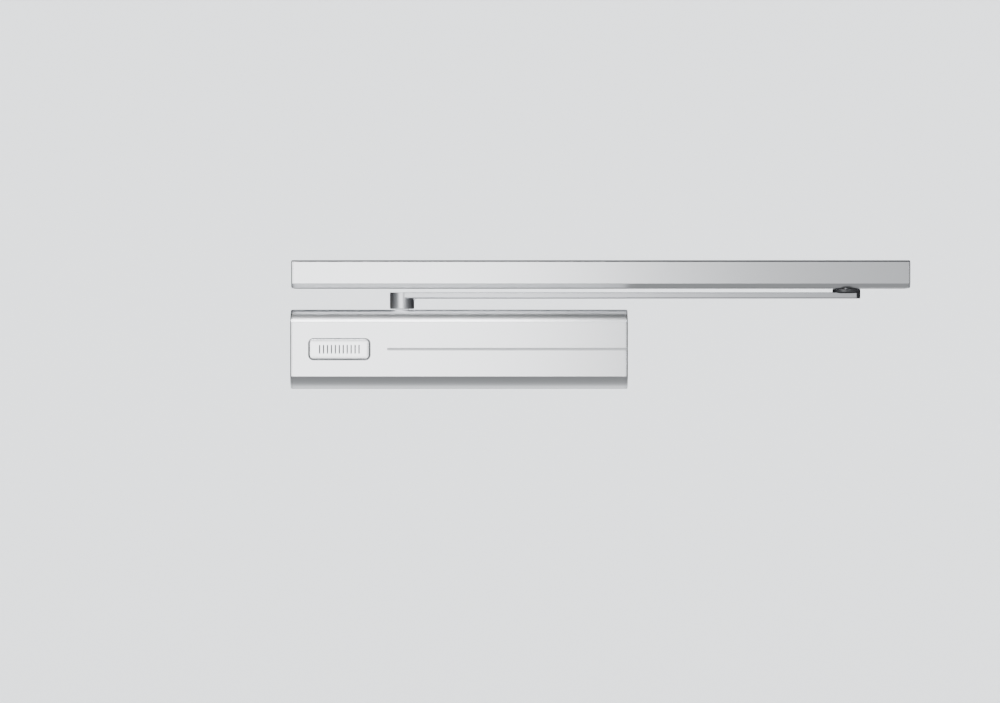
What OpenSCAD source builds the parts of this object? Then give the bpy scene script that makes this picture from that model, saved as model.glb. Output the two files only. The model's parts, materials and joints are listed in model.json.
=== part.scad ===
// Cam-action door closer with a guide rail, for the hinge side of a single-leaf door.
// Frame: X runs along the door, away from its hinges. -Y faces the room. Z is up.
// Origin: centre of the closer's four fixing holes, on the face that lies on the door.
// The model stands as with the door closed: the arm lies along +X under the rail.

/* [Cover] */
// Length over the two end caps
cover_l = 240; // [225:1:320]
// Height over the top and bottom margins
cover_h = 56.5; // [54:0.5:68]
// Height of the raised front panel
panel_h = 38.6; // [34:0.2:42]
// Depth of the rounded margins above and below the panel
margin_d = 11; // [8:0.5:13]
// How far the margins bulge beyond a flat bevel
margin_bulge = 1.6; // [0.8:0.1:2.4]
// Wall of the extruded shell
cover_wall = 1.6; // [1.2:0.1:2]
// Thickness of an end cap's plate
cap_t = 1.5; // [1:0.5:3]
// Length of the badge
badge_l = 43.6; // [30:0.2:54]
// Height of the badge
badge_h = 15; // [10:0.5:20]
// Height of the groove along the panel
groove_h = 2; // [1:0.25:3]

/* [Hydraulic body] */
// Diameter of the piston bore
bore_d = 34; // [30:0.5:40]
// Least wall in front of and behind the bore
housing_wall = 3.5; // [3:0.5:6]
// Length of a fixing lug beyond the bore
lug_l = 10; // [9:0.5:14]
// Thickness of a fixing lug
lug_t = 12; // [8:1:16]
// Diameter of a fixing hole
fix_hole_d = 6.6; // [5.5:0.1:7]
// Height between the two fixing holes of a lug
fix_spacing_z = 32; // [26:1:36]
// Length of a threaded end plug
plug_l = 10; // [8:1:14]

/* [Cam and pistons] */
// Distance from the cover's hinge-side end to the spindle
spindle_from_end = 79; // [76:1:90]
// Diameter of the spindle in its bearings
spindle_d = 14; // [12:0.5:15]
// Side of the spindle's square end
square_w = 9.8; // [8:0.1:10]
// Diameter of a cam roller
roller_d = 13; // [11:0.5:14]
// Thickness of the cam and its rollers
cam_t = 13; // [10:0.5:14]
// Thickness of the cam over the spindle, at the bottom of its notch
cam_wall = 0.45; // [0.3:0.05:1]
// How far the cam moves a piston in half a turn
cam_lift = 8.8; // [7:0.1:9]
// Turn of the cam away from its notch with the door closed, in degrees
cam_preload = 5; // [4:1:8]
// Diameter of a roller's axle
axle_d = 5; // [4:0.5:6]
// Length of the closing piston
closing_piston_l = 40; // [34:1:44]
// Length of the damping piston
damping_piston_l = 32; // [28:1:32]

/* [Springs] */
// Wire of the closing spring
spring_wire = 6.4; // [5:0.2:6.8]
// Length of one coil of the closing spring along its axis
spring_pitch = 8.9; // [8:0.1:12]
// Wire of the follower spring
follower_wire = 1.4; // [1:0.1:1.8]
// Thickness of the spring seat
seat_t = 6; // [5:1:8]
// Diameter of the force-adjusting screw
adjust_d = 8; // [6:1:10]

/* [Arm] */
// Distance from the spindle's axis to the slider's pivot
arm_l = 318; // [260:1:350]
// Diameter of the hub
hub_d = 17.5; // [16.5:0.5:22]
// Height of the hub
hub_h = 11.8; // [10:0.2:14]
// Thickness of the bar
bar_t = 4.4; // [4:0.2:6]
// Width of the bar at the hub
bar_w = 15; // [12:0.5:16]
// Diameter of the slider's pin
pin_d = 7; // [6:0.5:8]

/* [Guide rail] */
// Length over the two end caps
rail_l = 442; // [420:1:560]
// Height of the rail
rail_h = 20; // [18:0.5:24]
// Depth of the rail from the frame to its front
rail_d = 31; // [30:0.5:38]
// Clear height between the cover and the rail
rail_gap = 15.35; // [15:0.05:20]
// Wall of the rail
rail_wall = 1.6; // [1.4:0.1:2]
// Width of the channel that the slider runs in
channel_w = 17.8; // [16:0.1:18]
// Width of the slot below the channel
slot_w = 10; // [9:0.5:11]
// Length of the slider
slider_l = 44; // [36:1:60]
// Length of a rail mounting block
mount_l = 30; // [24:1:40]
// Diameter of a rail fixing hole
rail_hole_d = 5.4; // [4.5:0.1:6]

/* [Hidden] */
$fn = 64;

// Clearances
run_gap = 0.05;      // a shaft in its bore, on the radius
slide_gap = 0.2;     // a loose sliding or clip fit
cover_gap = 1.4;     // between the hydraulic body and the inside of the cover
end_gap = 0.5;       // between the hydraulic body and an end cap
lift_gap = 0.65;     // between the cover and the hub
eps = 0.01;          // makes cutters break through a face

// Hydraulic body
bore_r = bore_d / 2;
housing_d = bore_d + 2 * housing_wall;
housing_h = cover_h - 2 * (cover_wall + cover_gap);
housing_l = cover_l - 2 * (cap_t + end_gap);
barrel_end = housing_l / 2 - lug_l;
axis_y = -housing_d / 2;
front_y = -(housing_d + cover_gap + cover_wall);
spindle_x = spindle_from_end - cover_l / 2;
fix_x = housing_l / 2 - lug_l / 2;
lug_gap_h = fix_spacing_z - fix_hole_d - 6;

// Cam: its pitch curve moves a roller by the same amount for every degree of turn
roller_r = roller_d / 2;
pitch_min = spindle_d / 2 + cam_wall + run_gap + roller_r;
cam_rate = cam_lift / 180;
cam_end = 177;       // the two flanks of the cam meet here, at its tip
function pitch_at(turn) = pitch_min + cam_rate * turn;
closing_roller_x = spindle_x + pitch_at(cam_preload);
damping_roller_x = spindle_x - pitch_at(180 - cam_preload);

// Bearings
chamber_r = pitch_min + cam_lift - roller_r + 0.7;
bearing_r = spindle_d / 2 + 3;
bearing_h = 5;
seal_h = 2.4;
bearing_z = housing_h / 2 - seal_h - 0.25 - bearing_h;
carrier_z = bore_r + 0.6;
carrier_t = 5;

// Pistons and springs
fork_nose = axle_d / 2 + 2.7;
fork_slot_h = cam_t + 0.6;
fork_slot_end = roller_r + 0.8;
closing_piston_x = closing_roller_x - fork_nose;
closing_piston_end = closing_piston_x + closing_piston_l;
damping_piston_end = damping_roller_x + fork_nose;
damping_piston_x = damping_piston_end - damping_piston_l;
pocket_depth = 12;
guide_l = 7;
spring_r = bore_r - 0.6 - spring_wire / 2;
plug_right_x = barrel_end - plug_l;
seat_x = plug_right_x - seat_t - 7;
follower_r = bore_r / 2;

// Valves
valve_d = 6.8;
valve_l = 5.6;
valve_z = panel_h / 2 - cover_wall - valve_d / 2 - 1.6;
valve_x = -barrel_end + plug_l + 8;
valve_pitch_x = 13;

// Arm
hub_bottom = cover_h / 2 + lift_gap;
hub_top = hub_bottom + hub_h;
bar_bottom = hub_top - bar_t;
pivot_x = spindle_x + arm_l;
screw_head_h = 2.6;
screw_head_r = 6.6;
arm_screw_d = 8;
web_t = 2;
square_top = hub_top - screw_head_h - slide_gap - web_t;
bush_r = 10;
bush_cut = 7;
bush_hole_r = 6;
bush_flange_t = rail_gap - lift_gap - hub_h - 0.4;

// Guide rail
rail_x = -cover_l / 2;
rail_z = cover_h / 2 + rail_gap;
rail_lip = 2.2;
rail_top_t = 1.8;
rail_bevel_top = 1.4;
rail_bevel_low = [2.4, 3.2];
chamber_d = -axis_y - channel_w / 2 - rail_wall;
mount_from_end = cap_t + mount_l / 2 + 3;
cap_plug_l = 6;

// ---- helpers ------------------------------------------------------------

module along_x(x, l, r, y = axis_y, z = 0) translate([x, y, z]) rotate([0, 90, 0]) cylinder(h = l, r = r);

module along_y(x, y, z, l, r) translate([x, y, z]) rotate([90, 0, 0]) cylinder(h = l, r = r);

module ring(h, r_out, r_in) difference() {
    cylinder(h = h, r = r_out);
    translate([0, 0, -eps]) cylinder(h = h + 2 * eps, r = r_in);
}

module ring_x(x, l, r_out, r_in, y = axis_y, z = 0)
    translate([x, y, z]) rotate([0, 90, 0]) ring(l, r_out, r_in);

// Draws a thing that stands above the middle, or its mirror image below
module above_or_below(up) {
    if (up > 0) children();
    else mirror([0, 0, 1]) children();
}

// A ring of round cord of radius r_cord, centred on radius r_ring
module o_ring(r_ring, r_cord)
    rotate_extrude($fn = 96) translate([r_ring, 0]) circle(r = r_cord, $fn = 24);

// Extrudes a profile drawn as (y, z) from x = x0 for a length l
module run_x(x0, l) translate([x0, 0, 0]) rotate([90, 0, 90]) linear_extrude(height = l) children();

module hexagon(across, h) cylinder(h = h, r = across / sqrt(3), $fn = 6);

// A coil spring along X as one swept tube. The end turns lie closed against each other.
function coil_x(t, turns, len, wire) =
    let (free = turns - 2, pitch = (len - 3 * wire) / free)
    wire / 2 + wire * min(t, 1) + pitch * min(max(t - 1, 0), free) + wire * max(t - turns + 1, 0);

module coil(x0, len, r_mean, wire, turns, per_turn = 24, sides = 8) {
    rings = round(turns * per_turn);
    points = [
        for (i = [0 : rings], s = [0 : sides - 1])
            let (t = i * turns / rings, a = 360 * t, b = 360 * s / sides,
                 r = r_mean + wire / 2 * cos(b))
            [x0 + coil_x(t, turns, len, wire) + wire / 2 * sin(b), axis_y + r * cos(a), r * sin(a)]
    ];
    sides_faces = [
        for (i = [0 : rings - 1], s = [0 : sides - 1])
            let (n = (s + 1) % sides, p = i * sides, q = p + sides)
            [p + s, p + n, q + n, q + s]
    ];
    ends = [
        [for (s = [sides - 1 : -1 : 0]) s],
        [for (s = [0 : sides - 1]) rings * sides + s]
    ];
    polyhedron(points = points, faces = concat(sides_faces, ends), convexity = 10);
}

// ---- hydraulic body -----------------------------------------------------

module housing_blank() {
    run_x(-barrel_end, 2 * barrel_end) cover_outline(cover_wall + cover_gap);
    difference() {
        translate([-housing_l / 2, -lug_t, -housing_h / 2]) cube([housing_l, lug_t, housing_h]);
        // room for a hexagon key at each end plug
        for (side = [-1, 1])
            translate([side * (barrel_end + lug_l / 2 + eps), -lug_t / 2, 0])
                cube([lug_l + 2 * eps, lug_t + 2, lug_gap_h], center = true);
    }
}

module housing() color("Silver") difference() {
    housing_blank();
    along_x(-barrel_end - eps, 2 * (barrel_end + eps), bore_r);
    // the cam goes in from the top, so the chamber is open as far as the carrier
    translate([spindle_x, axis_y, -cam_t / 2 - 1]) cylinder(h = housing_h, r = chamber_r);
    translate([spindle_x, axis_y, -housing_h]) cylinder(h = housing_h, r = bearing_r);
    for (side = [-1, 1], up = [-1, 1])
        along_y(side * fix_x, eps, up * fix_spacing_z / 2, lug_t + 2 * eps, fix_hole_d / 2);
    for (i = [0, 1, 2]) valve_place(i) translate([0, 0, -eps]) {
        cylinder(h = valve_l + 2 * eps, r = valve_d / 2 + run_gap);
        cylinder(h = valve_l + 4, r = 1.2);
    }
    for (up = [-1, 1]) oil_channel(up);
}

// Where oil channel up (1 above the bore, -1 below) runs, and the ball that shuts its end
channel_y = axis_y - bore_r * 0.66;
channel_z = bore_r * 0.66 + 7;
channel_l = 60;
ball_r = 2.2;
module oil_channel(up) {
    along_x(-barrel_end - eps, channel_l, 1.5, channel_y, up * channel_z);
    along_x(-barrel_end - eps, 2 * ball_r + 0.6, ball_r, channel_y, up * channel_z);
}

module channel_balls() color("DimGray") for (up = [-1, 1])
    translate([-barrel_end + ball_r + 0.3, channel_y, up * channel_z]) sphere(r = ball_r - run_gap);

// Plug from x on, with its seal's groove and a recess from recess_x on, which the children draw
module end_plug(x, seal_x, recess_x) difference() {
    along_x(x, plug_l, bore_r);
    seal_groove(seal_x);
    translate([recess_x, axis_y, 0]) rotate([0, 90, 0]) children();
}

seal_w = 2.6;
seal_depth = 1.9;
seal_left_x = -barrel_end + plug_l - 2.2;
seal_right_x = plug_right_x + 2.2;
module seal_groove(x) ring_x(x - seal_w / 2, seal_w, bore_r + 1, bore_r - seal_depth);

module end_plug_left() color("Gainsboro")
    end_plug(-barrel_end, seal_left_x, -barrel_end - eps) hexagon(10, 4 + 2 * eps);

module end_plug_right() color("Gainsboro") difference() {
    end_plug(plug_right_x, seal_right_x, plug_right_x + plug_l - 4) cylinder(h = 4 + 2 * eps, r = adjust_d / 2 + 2.4);
    along_x(plug_right_x - eps, plug_l, adjust_d / 2 + run_gap);
}

module plug_seals() color([0.1, 0.1, 0.1]) for (x = [seal_left_x, seal_right_x])
    translate([x, axis_y, 0]) rotate([0, 90, 0]) o_ring(bore_r - 0.95, 0.9);

// ---- spindle and bearings -----------------------------------------------

// One flank point of the cam: the roller's centre moved in by its radius, square to the pitch curve
function flank(turn) =
    let (d = pitch_at(turn), rate = cam_rate * 180 / PI, size = norm([d, rate]),
         inset = (roller_r + run_gap) / size)
    [d * cos(turn) - inset * (rate * sin(turn) + d * cos(turn)),
     d * sin(turn) + inset * (rate * cos(turn) - d * sin(turn))];

module heart_outline() {
    step = 3;
    upper = [for (turn = [0 : step : cam_end]) flank(turn)];
    lower = [for (i = [len(upper) - 1 : -1 : 0]) [upper[i][0], -upper[i][1]]];
    notch = [pitch_min - roller_r - run_gap, 0];
    polygon(concat([notch], upper, lower));
}

module at_spindle(z = 0) translate([spindle_x, axis_y, z]) children();

module cam_spindle() color("SlateGray") at_spindle() difference() {
    union() {
        rotate([0, 0, cam_preload]) translate([0, 0, -cam_t / 2])
            linear_extrude(height = cam_t) heart_outline();
        translate([0, 0, -housing_h / 2 - 0.4])
            cylinder(h = housing_h + 0.8, r = spindle_d / 2);
        translate([-square_w / 2, -square_w / 2, housing_h / 2])
            cube([square_w, square_w, square_top - slide_gap - housing_h / 2]);
    }
    translate([0, 0, square_top - slide_gap - 12]) cylinder(h = 12 + eps, r = arm_screw_d / 2);
    translate([0, 0, -housing_h / 2 - 0.4 - eps]) hexagon(6, 5);
}

// A flanged ring screwed into the top of the cam chamber, with a collar round the shaft seal
module bearing_carrier() color("Silver") at_spindle(carrier_z) difference() {
    union() {
        ring(carrier_t, chamber_r, bearing_r);
        ring(housing_h / 2 - carrier_z, bearing_r + 2.4, bearing_r);
    }
    for (a = [45 : 90 : 315]) rotate([0, 0, a])
        translate([chamber_r - 2.2, 0, carrier_t - 2.5]) cylinder(h = 4, r = 1.2);
}

// A drawn-cup needle bearing: the cup and its needles
module needle_bearing() {
    needle_r = 0.95;
    needles = 14;
    ring(bearing_h, bearing_r, bearing_r - 0.9);
    for (i = [0 : needles - 1]) rotate([0, 0, 360 / needles * i])
        translate([bearing_r - 0.95 - needle_r, 0, 0.5])
            cylinder(h = bearing_h - 1, r = needle_r, $fn = 20);
}

module upper_bearing() color("LightSteelBlue") at_spindle(bearing_z) needle_bearing();
module lower_bearing() color("LightSteelBlue") at_spindle(-bearing_z - bearing_h) needle_bearing();

module shaft_seal() {
    ring(seal_h, bearing_r, bearing_r - 1.2);
    ring(0.8, bearing_r - 1.2, spindle_d / 2 + run_gap);
}

module upper_shaft_seal() color([0.12, 0.12, 0.12]) at_spindle(housing_h / 2 - seal_h) shaft_seal();
module lower_shaft_seal() color([0.12, 0.12, 0.12])
    at_spindle(-housing_h / 2 + seal_h) mirror([0, 0, 1]) shaft_seal();

// ---- pistons ------------------------------------------------------------

// A piston from x0 to x1 with its fork at the end nearest the roller at x = roller_x
module piston(x0, x1, roller_x) {
    toward = roller_x < (x0 + x1) / 2 ? -1 : 1;
    slot_l = fork_slot_end + fork_nose + 2;
    difference() {
        along_x(x0, x1 - x0, bore_r - run_gap);
        translate([roller_x + toward * (slot_l / 2 - fork_slot_end), axis_y, 0])
            cube([slot_l, bore_d, fork_slot_h], center = true);
        translate([roller_x, axis_y, -bore_r]) cylinder(h = bore_d, r = axle_d / 2);
        children();
    }
}

module closing_piston() color("Gray")
    piston(closing_piston_x, closing_piston_end, closing_roller_x) {
        along_x(check_valve_x + cartridge_l + 0.3, pocket_depth + 1, bore_r - spring_wire - 2.4);
        cartridge_seat(check_valve_x, closing_roller_x);
    }

module damping_piston() color("Gray")
    piston(damping_piston_x, damping_piston_end, damping_roller_x) {
        along_x(damping_piston_x - 1, pocket_depth + 1, follower_r + follower_wire);
        cartridge_seat(relief_valve_x, damping_roller_x);
    }

// A small valve cartridge sits at the floor of each piston's pocket
cartridge_r = 3;
cartridge_l = 5;
check_valve_x = closing_piston_end - pocket_depth - cartridge_l - 0.3;
relief_valve_x = damping_piston_x + pocket_depth + 0.3;
module cartridge_seat(x, roller_x) {
    along_x(x - 0.31, cartridge_l + 0.62, cartridge_r);
    along_x(min(x, roller_x), abs(x - roller_x), 1.5);
}

module cartridge(x) difference() {
    along_x(x, cartridge_l, cartridge_r);
    along_x(x - eps, cartridge_l + 2 * eps, 1.1);
}

module check_valve() color("Goldenrod") cartridge(check_valve_x);
module relief_valve() color("Goldenrod") cartridge(relief_valve_x);

module roller(x) translate([x, axis_y, -cam_t / 2]) ring(cam_t, roller_r, axle_d / 2 + run_gap);
module roller_axle(x) {
    reach = sqrt(pow(bore_r, 2) - pow(axle_d / 2, 2)) - 0.4;
    translate([x, axis_y, -reach]) cylinder(h = 2 * reach, r = axle_d / 2);
}

module closing_roller() color("DarkGray") roller(closing_roller_x);
module closing_roller_axle() color("DimGray") roller_axle(closing_roller_x);
module damping_roller() color("DarkGray") roller(damping_roller_x);
module damping_roller_axle() color("DimGray") roller_axle(damping_roller_x);

// ---- springs ------------------------------------------------------------

module closing_spring() color("DarkSlateGray") {
    length = seat_x - closing_piston_end - 0.1;
    coil(closing_piston_end + 0.05, length, spring_r, spring_wire,
        turns = floor(length / spring_pitch));
}

module follower_spring() color("DarkSlateGray") {
    start = -barrel_end + plug_l + 0.05;
    length = damping_piston_x + pocket_depth - start - 0.1;
    coil(start, length, follower_r, follower_wire, turns = 6, per_turn = 20, sides = 6);
}

module spring_seat() color("Gray") difference() {
    union() {
        along_x(seat_x, seat_t, bore_r - slide_gap);
        along_x(seat_x - guide_l, guide_l, spring_r - spring_wire / 2 - 0.6);
    }
    along_x(seat_x - guide_l - eps, seat_t + guide_l + 2 * eps, adjust_d / 2 + run_gap);
}

module spring_adjust_screw() color("DimGray") difference() {
    screw_x = seat_x - guide_l - 4;
    head_x = barrel_end - 3.7;
    union() {
        along_x(screw_x, head_x - screw_x + 1, adjust_d / 2);
        along_x(head_x, 3.2, adjust_d / 2 + 2.2);
    }
    translate([head_x + 0.2, axis_y, 0]) rotate([0, 90, 0]) hexagon(5, 4);
}

// ---- regulating valves --------------------------------------------------

// Places valve i with its head on the front of the hydraulic body and its axis into the body
module valve_place(i) {
    x = valve_x + (i % 2) * valve_pitch_x;
    z = i < 2 ? valve_z : -valve_z;
    translate([x, -housing_d, z]) rotate([-90, 0, 0]) children();
}

module valve(i) valve_place(i) difference() {
    union() {
        cylinder(h = valve_l - 0.5, r = valve_d / 2);
        cylinder(h = valve_l + 1.5, r1 = valve_d / 2 - 2, r2 = 0.9);
    }
    translate([0, 0, 2.2]) ring(1.6, valve_d, valve_d / 2 - 0.9);
    translate([-0.5, -valve_d, -eps]) cube([1, 2 * valve_d, 1.3]);
}

module closing_speed_valve() color("DimGray") valve(0);
module latch_speed_valve() color("DimGray") valve(1);
module backcheck_valve() color("DimGray") valve(2);
module valve_seals() color([0.1, 0.1, 0.1]) for (i = [0, 1, 2])
    valve_place(i) translate([0, 0, 3]) o_ring(valve_d / 2 - 0.45, 0.44);

// ---- cover --------------------------------------------------------------

// Outline of the cover, drawn inwards by t: a flat panel with an arc above and below it
module cover_outline(t = 0) {
    rise = (cover_h - panel_h) / 2;
    chord = norm([margin_d, rise]);
    arc_r = pow(chord, 2) / (8 * margin_bulge) + margin_bulge / 2;
    centre_y = front_y + margin_d / 2 + (arc_r - margin_bulge) * rise / chord;
    centre_z = (cover_h + panel_h) / 4 - (arc_r - margin_bulge) * margin_d / chord;
    r = arc_r - t;
    from = acos((front_y + t - centre_y) / r);
    to = 180 - asin((cover_h / 2 - t - centre_z) / r);
    steps = 12;
    arc = [for (i = [0 : steps]) let (a = from + (to - from) * i / steps)
        [centre_y + r * cos(a), centre_z + r * sin(a)]];
    mirrored = [for (i = [steps : -1 : 0]) [arc[i][0], -arc[i][1]]];
    polygon(concat(arc, [[0, cover_h / 2 - t], [0, t - cover_h / 2]], mirrored));
}

// The way the cover slides past the spindle, open at the back
module spindle_slot(z) {
    slot_r = spindle_d / 2 + 1.5;
    translate([spindle_x, axis_y, z - 5]) cylinder(h = 10, r = slot_r);
    translate([spindle_x - slot_r, axis_y, z - 5]) cube([2 * slot_r, housing_d, 10]);
}

groove_depth = 0.5;
badge_x = -cover_l / 2 + 35;
groove_x = badge_x + badge_l / 2 + 13.2;

module cover_shell() color([0.82, 0.83, 0.85]) difference() {
    length = cover_l - 2 * cap_t;
    run_x(-length / 2, length) cover_outline();
    run_x(-length / 2 - eps, length + 2 * eps) cover_outline(cover_wall);
    // the back is open right to its plane
    translate([0, eps, 0]) cube([cover_l, 4 * eps, cover_h - 2 * cover_wall], center = true);
    for (side = [-1, 1]) spindle_slot(side * cover_h / 2);
    translate([groove_x, front_y - eps, -groove_h / 2]) cube([cover_l, groove_depth, groove_h]);
    along_y(groove_x, front_y + groove_depth - eps, 0, groove_depth, groove_h / 2);
    badge_plate(slide_gap, front_y - 1, 1 + badge_recess);
    for (side = [-1, 1]) along_y(badge_x + side * badge_l / 4, front_y + cover_wall + 1, 0, 4, 1.5);
}

module cover_cap(side) {
    inside = side * (cover_l / 2 - cap_t);
    difference() {
        run_x(side > 0 ? inside : -cover_l / 2, cap_t) cover_outline();
        translate([inside - eps, front_y - eps, -groove_h / 2])
            if (side > 0) cube([cap_t + 2 * eps, groove_depth, groove_h]);
    }
    // tongues that hold the cap in the end of the shell
    for (up = [-1, 1]) above_or_below(up)
        translate([side > 0 ? inside - 4 : inside, -24, cover_h / 2 - cover_wall - 1])
            cube([4, 16, 1]);
}

module cover_cap_left() color([0.72, 0.73, 0.75]) cover_cap(-1);
module cover_cap_right() color([0.72, 0.73, 0.75]) cover_cap(1);

// Plastic spring clips on the hydraulic body that the cover snaps over
clip_w = 14;
module cover_clips() color("DimGray") for (side = [-1, 1], up = [-1, 1])
    above_or_below(up) translate([side * (barrel_end - 25) - clip_w / 2, -24, housing_h / 2]) {
        cube([clip_w, 12, 0.6]);
        translate([0, 9, 0]) cube([clip_w, 1.6, cover_gap]);
    }

badge_recess = 0.5;
badge_proud = 0.4;
badge_corner_r = 3.4;

// A plate with rounded corners, larger than the badge by grow on each side
module badge_plate(grow, y, t) {
    r = badge_corner_r + grow;
    l = badge_l + 2 * grow;
    h = badge_h + 2 * grow;
    translate([badge_x - l / 2 + r, y, -h / 2]) cube([l - 2 * r, t, h]);
    translate([badge_x - l / 2, y, -h / 2 + r]) cube([l, t, h - 2 * r]);
    for (x = [-1, 1], z = [-1, 1])
        along_y(badge_x + x * (l / 2 - r), y + t, z * (h / 2 - r), t, r);
}

module badge() color([0.86, 0.87, 0.89]) {
    marks = 11;
    difference() {
        badge_plate(0, front_y - badge_proud, badge_proud + badge_recess);
        // a row of plain grooves
        for (i = [0 : marks - 1])
            translate([badge_x + (i - (marks - 1) / 2) * 2.8 - 0.5, front_y - badge_proud - eps, -3.2])
                cube([1, 0.3, 6.4]);
    }
    for (side = [-1, 1]) along_y(badge_x + side * badge_l / 4, front_y + 1.4, 0, 1, 1.4);
}

module lower_slot_insert() color([0.72, 0.73, 0.75]) {
    slot_r = spindle_d / 2 + 1.5 - slide_gap / 2;
    translate([spindle_x, axis_y, -cover_h / 2]) cylinder(h = cover_wall, r = slot_r);
    translate([spindle_x - slot_r, axis_y, -cover_h / 2]) cube([2 * slot_r, -axis_y, cover_wall]);
}

// ---- arm ----------------------------------------------------------------

module arm_plan() {
    tip_w = bar_w - 1;
    polygon([
        [0, -bar_w / 2], [arm_l * 0.9, -tip_w / 2], [arm_l + bush_cut, -tip_w / 2],
        [arm_l + bush_cut, tip_w / 2], [arm_l * 0.9, tip_w / 2], [0, bar_w / 2]
    ]);
}

// The gusset that runs the hub's side out into the underside of the bar
module arm_gusset() {
    reach = 5.5;
    drop = 5;
    translate([0, bar_w / 2 - 1, bar_bottom]) rotate([90, 0, 0]) linear_extrude(height = bar_w - 2)
        polygon([
            [0, 0], [0, -drop],
            for (a = [0 : 10 : 90]) [hub_d / 2 - 1.2 + reach * (1 - cos(a)), -drop * (1 - sin(a))]
        ]);
}

module arm() color([0.74, 0.75, 0.77]) translate([spindle_x, axis_y, 0]) difference() {
    union() {
        translate([0, 0, hub_bottom]) cylinder(h = hub_h, r = hub_d / 2);
        translate([0, 0, bar_bottom]) linear_extrude(height = bar_t) arm_plan();
        arm_gusset();
    }
    translate([-square_w / 2 - run_gap, -square_w / 2 - run_gap, hub_bottom - eps])
        cube([square_w + 2 * run_gap, square_w + 2 * run_gap, square_top - hub_bottom]);
    translate([0, 0, hub_bottom]) cylinder(h = hub_h, r = arm_screw_d / 2 + 0.2);
    translate([0, 0, square_top + web_t]) cylinder(h = hub_h, r = screw_head_r + slide_gap);
    translate([arm_l, 0, hub_bottom]) cylinder(h = hub_h, r = bush_hole_r);
}

module arm_screw() color("DarkGray") at_spindle(square_top + web_t) difference() {
    union() {
        cylinder(h = screw_head_h, r = screw_head_r);
        translate([0, 0, -web_t - 9]) cylinder(h = web_t + 9 + eps, r = arm_screw_d / 2 - run_gap);
    }
    translate([0, 0, screw_head_h - 2]) hexagon(5, 3);
}

module at_pivot(z = 0) translate([pivot_x, axis_y, z]) children();

// Plastic bearing for the pin, with a flange above the bar and a rounded tip past its end
module arm_end_bush() color([0.08, 0.08, 0.09]) at_pivot(bar_bottom) difference() {
    union() {
        cylinder(h = bar_t, r = bush_hole_r);
        translate([0, 0, bar_t]) cylinder(h = bush_flange_t, r = bush_r);
        intersection() {
            cylinder(h = bar_t, r = bush_r);
            translate([bush_cut, -bush_r, 0]) cube([bush_r, 2 * bush_r, bar_t]);
        }
    }
    translate([0, 0, -eps]) cylinder(h = bar_t + bush_flange_t + 1, r = pin_d / 2 + run_gap);
    translate([0, 0, -eps]) cylinder(h = 1.7, r = pin_head_r + 0.1);
}

// ---- slider -------------------------------------------------------------

pin_head_r = pin_d / 2 + 1.4;
pin_top = rail_z + rail_h - rail_top_t - 1.2;
slider_bottom = rail_z + rail_lip + 0.1;
slider_top = rail_z + rail_h - rail_top_t - 0.5;
clip_z = slider_top - 3.4;

module slider_pin() color("DarkGray") at_pivot() difference() {
    union() {
        translate([0, 0, bar_bottom]) cylinder(h = 1.5, r = pin_head_r);
        translate([0, 0, bar_bottom + 1]) cylinder(h = pin_top - bar_bottom - 1, r = pin_d / 2);
    }
    translate([0, 0, clip_z]) ring(1, pin_d, pin_d / 2 - 0.8);
    translate([0, 0, bar_bottom - eps]) hexagon(3, 1.6);
}

module slider_clip() color("DimGray") at_pivot(clip_z + 0.1) difference() {
    ring(0.8, pin_d / 2 + 1.8, pin_d / 2 - 0.75);
    translate([0, -1.6, -1]) cube([pin_d, 3.2, 3]);
}

module slider_block() color([0.1, 0.1, 0.11]) difference() {
    w = channel_w - 2 * slide_gap;
    chamfer = 3;
    translate([pivot_x, axis_y, slider_bottom]) linear_extrude(height = slider_top - slider_bottom)
        polygon([
            [-slider_l / 2, -w / 2 + chamfer], [-slider_l / 2 + chamfer, -w / 2],
            [slider_l / 2 - chamfer, -w / 2], [slider_l / 2, -w / 2 + chamfer],
            [slider_l / 2, w / 2 - chamfer], [slider_l / 2 - chamfer, w / 2],
            [-slider_l / 2 + chamfer, w / 2], [-slider_l / 2, w / 2 - chamfer]
        ]);
    at_pivot(rail_z) cylinder(h = rail_h, r = pin_d / 2);
    at_pivot(clip_z) cylinder(h = rail_h, r = pin_d / 2 + 2.4);
    for (side = [-1, 1]) translate([pivot_x + side * slider_l / 3.2, axis_y, rail_z + 10])
        cube([8, w - 4, rail_h], center = true);
}

// ---- guide rail ---------------------------------------------------------

module rail_outline() polygon([
    [0, 0], [-rail_d + rail_bevel_low[0], 0], [-rail_d, rail_bevel_low[1]],
    [-rail_d, rail_h - rail_bevel_top], [-rail_d + rail_bevel_top, rail_h], [0, rail_h]
]);

module rail_section() difference() {
    rail_outline();
    translate([axis_y - channel_w / 2, rail_lip])
        square([channel_w, rail_h - rail_lip - rail_top_t]);
    translate([axis_y - slot_w / 2, -1]) square([slot_w, rail_lip + 2]);
    translate([-chamber_d, rail_top_t]) square([chamber_d + 1, rail_h - 2 * rail_top_t]);
}

module rail_profile() color([0.8, 0.81, 0.83]) difference() {
    translate([0, 0, rail_z]) run_x(rail_x + cap_t, rail_l - 2 * cap_t) rail_section();
    for (side = [0, 1]) lock_place(side) translate([0, 0, -3]) cylinder(h = 6, r = 2.5 + run_gap);
}

module rail_cap(side) {
    x_plate = side > 0 ? rail_x + rail_l - cap_t : rail_x;
    x_plug = side > 0 ? x_plate - cap_plug_l : x_plate + cap_t;
    translate([0, 0, rail_z]) {
        run_x(x_plate, cap_t) rail_outline();
        translate([x_plug, axis_y - channel_w / 2 + slide_gap, rail_lip + slide_gap])
            cube([cap_plug_l, channel_w - 2 * slide_gap, rail_h - rail_lip - rail_top_t - 2 * slide_gap]);
    }
}

module rail_cap_left() color([0.72, 0.73, 0.75]) rail_cap(-1);
module rail_cap_right() color([0.72, 0.73, 0.75]) rail_cap(1);

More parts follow.
